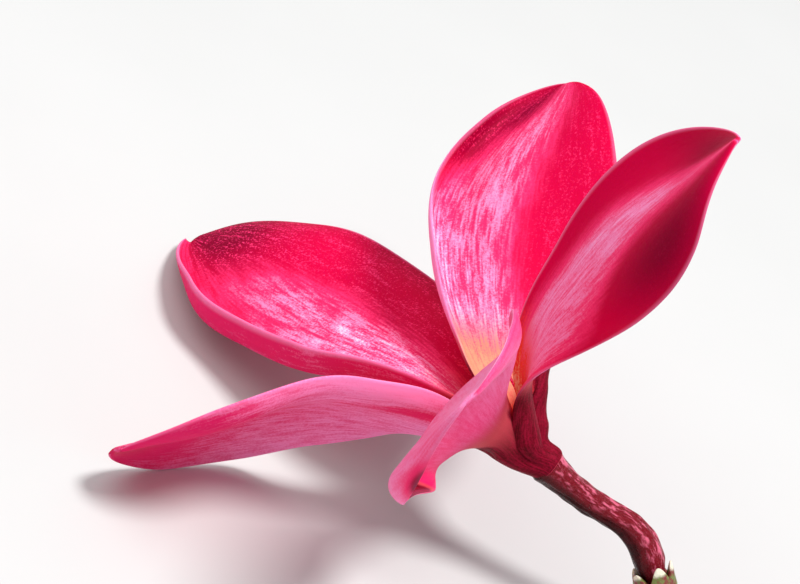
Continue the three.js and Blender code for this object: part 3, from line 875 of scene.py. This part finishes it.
LATE_YELLOW_RANGE = (0.8, 1.5)
CLOUD_GAIN = 0.6
CLOUD_RANGE = (0.1, 1.2)
CLAW_RED_RANGE = (0.02, 0.5)       # of the dark on the outer face
CLAW_DARK_RANGE = (0.5, 0.95)
# Of the painted rim highlight along the margin: where it lies across, and where it sets in along.
PAINTED_RIM_ACROSS = (0.94, 0.99)
PAINTED_RIM_ALONG = (0.1, 0.25)
RELIEF_STREAKS = 0.6
RELIEF_GRAIN = 0.5


def petal_noise(s, u, v, index, kind):
    spot = s.join(s.scale(v, kind["across"]), s.scale(u, kind["along"]), index * kind["step"] + kind["start"])
    return s.noise(spot, 1.0, kind["detail"], kind["roughness"])


def pink_share(s, patches, mottle, share, grain, contrast):
    """How pink the inner face is: its pale patches broken up by the mottling, and fine specks."""
    broken = s.math("ADD", s.scale(share, PINK_GAIN * contrast), PINK_BASE - PINK_LOSS * contrast)
    speck_field = s.total(s.scale(mottle, SPECK_MOTTLE), s.scale(grain, SPECK_GRAIN))
    specks = s.scale(s.rise(speck_field, *SPECK_RANGE), SPECK_STRENGTH * contrast ** 2)
    return s.math("MAXIMUM", s.math("MULTIPLY", patches, broken), specks)


def inner_colour(s, pink, dark, broad):
    # Deep crimson where the dark spots lie: mostly painted shade; the broad field adds the petals' own tone.
    colour = s.mix(s.math("ADD", dark, s.scale(broad, BROAD_DARK), clamp=True), CRIMSON, DEEP_CRIMSON)
    # Pink, pale and white: partly the petals' own streaks, partly painted sheen where the faces turn up to
    # the light.
    colour = s.mix(s.rise(pink, *ROSE_RANGE), colour, ROSE)
    colour = s.mix(s.rise(pink, *PALE_RANGE), colour, PALE_PINK)
    return s.mix(s.rise(pink, *WHITE_RANGE), colour, WHITE_PINK)


def with_glow(s, colour, look, glow, share, u):
    """The inner face's colour with the warm throat laid over it."""
    salmon = look["glow"] > SALMON_GLOW
    warm = s.math("MULTIPLY", glow, s.math("ADD", s.scale(share, GLOW_GAIN), GLOW_BASE))
    shallow = s.rise(u, *SHALLOW_RANGE)
    warm_colour = s.mix(shallow, GLOW_RED, GLOW_SALMON) if salmon else GLOW_RED
    colour = s.mix(s.rise(warm, *GLOW_RANGE), colour, warm_colour)
    yellow = s.rise(warm, *(SOON_YELLOW_RANGE if salmon else LATE_YELLOW_RANGE))
    return s.mix(s.math("MULTIPLY", yellow, shallow), colour, GLOW_YELLOW)


def outer_colour(s, patches, dark, share, contrast):
    cloud = s.math("ADD", patches, s.scale(share, CLOUD_GAIN * contrast))
    colour = s.mix(s.rise(cloud, *CLOUD_RANGE), OUTER_PINK, OUTER_PALE)
    colour = s.mix(s.rise(dark, *CLAW_RED_RANGE), colour, CLAW_RED)
    return s.mix(s.rise(dark, *CLAW_DARK_RANGE), colour, s.mix(share, MAROON, CLAW_CRIMSON))


def petal_material(index):
    s = Shader(f"petal_{index + 1}_skin")
    look = LOOKS[index]
    contrast = look["mottle"]
    u, v, broad = (s.field(name) for name in ("along", "across", "broad"))
    pale, dark, glow = (s.field(name) for name in ("pale", "dark", "glow"))
    streaks = petal_noise(s, u, v, index, STREAKS)
    veins = petal_noise(s, u, v, index, VEINS)
    grain = s.noise(s.place(), *GRAIN)
    mottle = s.total(s.scale(streaks, STREAK_SHARE), s.scale(veins, VEIN_SHARE), s.scale(grain, GRAIN_SHARE))
    share = s.rise(mottle, *MOTTLE_RANGE)
    patches = s.total(pale, s.scale(broad, BROAD_PALE))
    pink = pink_share(s, patches, mottle, share, grain, contrast)
    inner = with_glow(s, inner_colour(s, pink, dark, broad), look, glow, share, u)
    outer = outer_colour(s, patches, dark, share, contrast)
    colour = s.mix(s.field("inner_side"), outer, inner)
    # A painted rim highlight: the very margin is laid pale pink.
    margin = s.math("MULTIPLY", s.rise(s.math("ABSOLUTE", v), *PAINTED_RIM_ACROSS), s.rise(u, *PAINTED_RIM_ALONG))
    colour = s.mix(s.scale(margin, look["rim"]), colour, PALE_PINK)
    relief = s.total(s.scale(streaks, RELIEF_STREAKS), s.scale(grain, RELIEF_GRAIN))
    s.set(Base_Color=colour, Roughness=0.5, Normal=s.bump(relief, 0.00010, 0.7), Specular_IOR_Level=0.03,
          Subsurface_Weight=0.12, Subsurface_Radius=(1.0, 0.15, 0.2), Subsurface_Scale=0.001)
    return s.material


TUBE_FLOW = (4.0, 0.8)             # how fast the wrinkles run round the tube and along it
TUBE_RED_RANGE = (0.4, 1.15)       # of the painted light round the tube, over which the red comes in from the painted shade
# Painted sheen: broken streaks of pale pink highlight along the wrinkles on the tube's lit side.
PAINTED_SHEEN_WRINKLES = (0.48, 0.62)
PAINTED_SHEEN_LIT_SIDE = (0.52, 0.95)
PAINTED_SHEEN_STRENGTH = 0.95


def tube_material():
    s = Shader("tube_skin")
    place = s.place()
    blotch = s.noise(place, 0.8, 3.0, 0.6)
    fine = s.noise(place, 4.5, 3.0, 0.65)
    round_it, along_it = TUBE_FLOW
    turning = [s.scale(s.field(name), round_it) for name in ("cosine", "sine")]
    wrinkled = s.noise(s.join(*turning, s.scale(s.field("deep"), along_it)), 1.0, 4.0, 0.6)
    # The side of the tube away from the light is painted in shade, the lit side red; blotches vary the tone.
    painted_lit_side = s.field("painted_light_side")
    painted_light_and_tone = s.total(painted_lit_side, s.scale(blotch, 0.5))
    colour = s.mix(s.rise(painted_light_and_tone, *TUBE_RED_RANGE), TUBE_PAINTED_SHADE, TUBE_RED)
    # Broken streaks of painted sheen on the lit side.
    painted_sheen = s.math("MULTIPLY", s.rise(wrinkled, *PAINTED_SHEEN_WRINKLES), s.rise(painted_lit_side, *PAINTED_SHEEN_LIT_SIDE))
    colour = s.mix(s.scale(painted_sheen, PAINTED_SHEEN_STRENGTH), colour, TUBE_PAINTED_SHEEN)
    colour = s.mix(s.field("inside"), colour, GLOW_RED)
    relief = s.total(wrinkled, s.scale(fine, 0.4))
    s.set(Base_Color=colour, Roughness=s.rise(fine, 0.3, 0.7, 0.15, 0.35), Specular_IOR_Level=0.16,
          Normal=s.bump(relief, 0.00035, 1.0))
    return s.material


GREEN_SCATTER = (0.6, 0.6, 0.2)
CALYX_RED_RANGE = (0.42, 0.6)
CALYX_TIP_RANGE = (0.72, 0.95)     # of the height of the cup, over which its pale tips come in
STALK_RED_RANGE = (0.35, 0.65)
STALK_SCUFF_RANGE = (0.6, 0.75)
CUT_GREEN_RANGE = (0.35, 0.65)
CUT_RANGE = (0.3, 0.5)


def calyx_material():
    s = Shader("calyx_skin")
    place = s.place()
    blotch = s.noise(place, 1.6, 3.0, 0.6)
    fine = s.noise(place, 6.0, 2.0, 0.6)
    colour = s.mix(s.rise(blotch, *CALYX_RED_RANGE), CALYX_GREEN, CALYX_RED)
    height = s.total(s.field("height"), s.scale(blotch, 0.25))
    colour = s.mix(s.rise(height, *CALYX_TIP_RANGE), colour, CALYX_TIP)
    s.set(Base_Color=colour, Roughness=0.4, Normal=s.bump(fine, 0.0002, 0.7), Specular_IOR_Level=0.5,
          Subsurface_Weight=0.15, Subsurface_Radius=GREEN_SCATTER, Subsurface_Scale=0.001)
    return s.material


def stalk_material():
    s = Shader("stalk_skin")
    place = s.place()
    blotch = s.noise(place, 1.1, 4.0, 0.6)
    fine = s.noise(place, 5.0, 3.0, 0.6)
    colour = s.mix(s.rise(blotch, *STALK_RED_RANGE), STALK_GREEN, STALK_RED)
    colour = s.mix(s.scale(s.rise(fine, *STALK_SCUFF_RANGE), 0.4), colour, STALK_SCUFF)
    cut = s.mix(s.rise(s.noise(place, 3.0, 3.0), *CUT_GREEN_RANGE), CUT_PALE, CUT_GREEN)
    colour = s.mix(s.rise(s.field("cut"), *CUT_RANGE), colour, cut)
    s.set(Base_Color=colour, Roughness=0.5, Normal=s.bump(fine, 0.0002, 0.8), Specular_IOR_Level=0.4,
          Subsurface_Weight=0.1, Subsurface_Radius=GREEN_SCATTER, Subsurface_Scale=0.001)
    return s.material


def floor_material():
    s = Shader("floor")
    grain = s.noise(s.place(), 0.02, 3.0)
    s.set(Base_Color=s.mix(grain, FLOOR_DARK, FLOOR_LIGHT), Roughness=0.9, Specular_IOR_Level=0.1)
    return s.material


# ----------------------------------
# Camera, floor and light

VIEW_ELEVATION = 30.6              # of the camera above the floor, degrees
VIEW_ROLL = -31.4                  # clockwise turn of the camera about its own axis, degrees
VIEW_DISTANCE = 400                # from the throat, millimetres
LENS = 180
SENSOR = 36
THROAT_RIGHT = 11.24               # of the picture's middle, millimetres
THROAT_BELOW = 15.26
NEAREST = 0.01                     # and the farthest that the camera sees, metres
FARTHEST = 100
FLOOR_RADIUS = 12
FLOOR_SIDES = 96
# Name, direction in the picture (right, up, back), distance and size in metres, and power in watts.
LIGHTS = (
    ("key", (-0.15, 0.85, 0.5), 0.7, 0.9, 2.0),
    ("gloss", (0.6, 0.6, 0.53), 0.6, 0.2, 3.6),
)
WORLD_COLOUR = (0.86, 0.87, 0.90, 1)
WORLD_STRENGTH = 0.54


def view_axes():
    """Right, up and back of the camera, in the frame."""
    elevation, roll = VIEW_ELEVATION * DEGREE, VIEW_ROLL * DEGREE
    level = Vector((1, 0, 0))
    upright = Vector((0, math.sin(elevation), math.cos(elevation)))
    back = Vector((0, -math.cos(elevation), math.sin(elevation)))
    right = level * math.cos(roll) - upright * math.sin(roll)
    up = upright * math.cos(roll) + level * math.sin(roll)
    return right, up, back


def make_camera():
    right, up, back = view_axes()
    data = bpy.data.cameras.new("camera")
    data.lens = LENS
    data.sensor_width = SENSOR
    data.clip_start = NEAREST
    data.clip_end = FARTHEST
    camera = bpy.data.objects.new("camera", data)
    place = Vector(THROAT) + (right * -THROAT_RIGHT + up * THROAT_BELOW + back * VIEW_DISTANCE) * MM
    turned = Matrix((right, up, back)).transposed().to_4x4()
    camera.matrix_world = Matrix.Translation(place) @ turned
    bpy.context.scene.collection.objects.link(camera)
    bpy.context.scene.camera = camera


def make_floor():
    points = [(FLOOR_RADIUS * math.cos(a), FLOOR_RADIUS * math.sin(a), 0) for a in full_turn(FLOOR_SIDES)]
    mesh = bpy.data.meshes.new("floor")
    mesh.from_pydata(points, [], [tuple(range(FLOOR_SIDES))])
    mesh.materials.append(floor_material())
    floor = bpy.data.objects.new("floor", mesh)
    bpy.context.scene.collection.objects.link(floor)


def make_light(name, toward, distance, size, power):
    """A soft round light that faces the flower."""
    right, up, back = view_axes()
    direction = (right * toward[0] + up * toward[1] + back * toward[2]).normalized()
    data = bpy.data.lights.new(name, "AREA")
    data.shape = "DISK"
    data.size = size
    data.energy = power
    light = bpy.data.objects.new(name, data)
    light.location = Vector(THROAT) + direction * distance
    light.rotation_euler = direction.to_track_quat("Z", "Y").to_euler()
    bpy.context.scene.collection.objects.link(light)


def make_world():
    world = bpy.data.worlds.new("studio")
    world.use_nodes = True
    background = world.node_tree.nodes["Background"]
    background.inputs["Color"].default_value = WORLD_COLOUR
    background.inputs["Strength"].default_value = WORLD_STRENGTH
    bpy.context.scene.world = world


make_camera()
make_floor()
for light_values in LIGHTS:
    make_light(*light_values)
make_world()
bpy.context.scene.view_settings.view_transform = "Standard"

for number in range(len(PETALS)):
    node_name = f"petal_{number + 1}"
    make_piece(f"{node_name}_blade", petal_mesh(number), petal_material(number), node_name)
make_piece("tube_body", tube_mesh(), tube_material(), "corolla_tube")
make_piece("calyx_cup", calyx_mesh(), calyx_material(), "calyx")
make_piece("stalk_body", stalk_mesh(), stalk_material(), "pedicel")

bpy.context.view_layer.update()
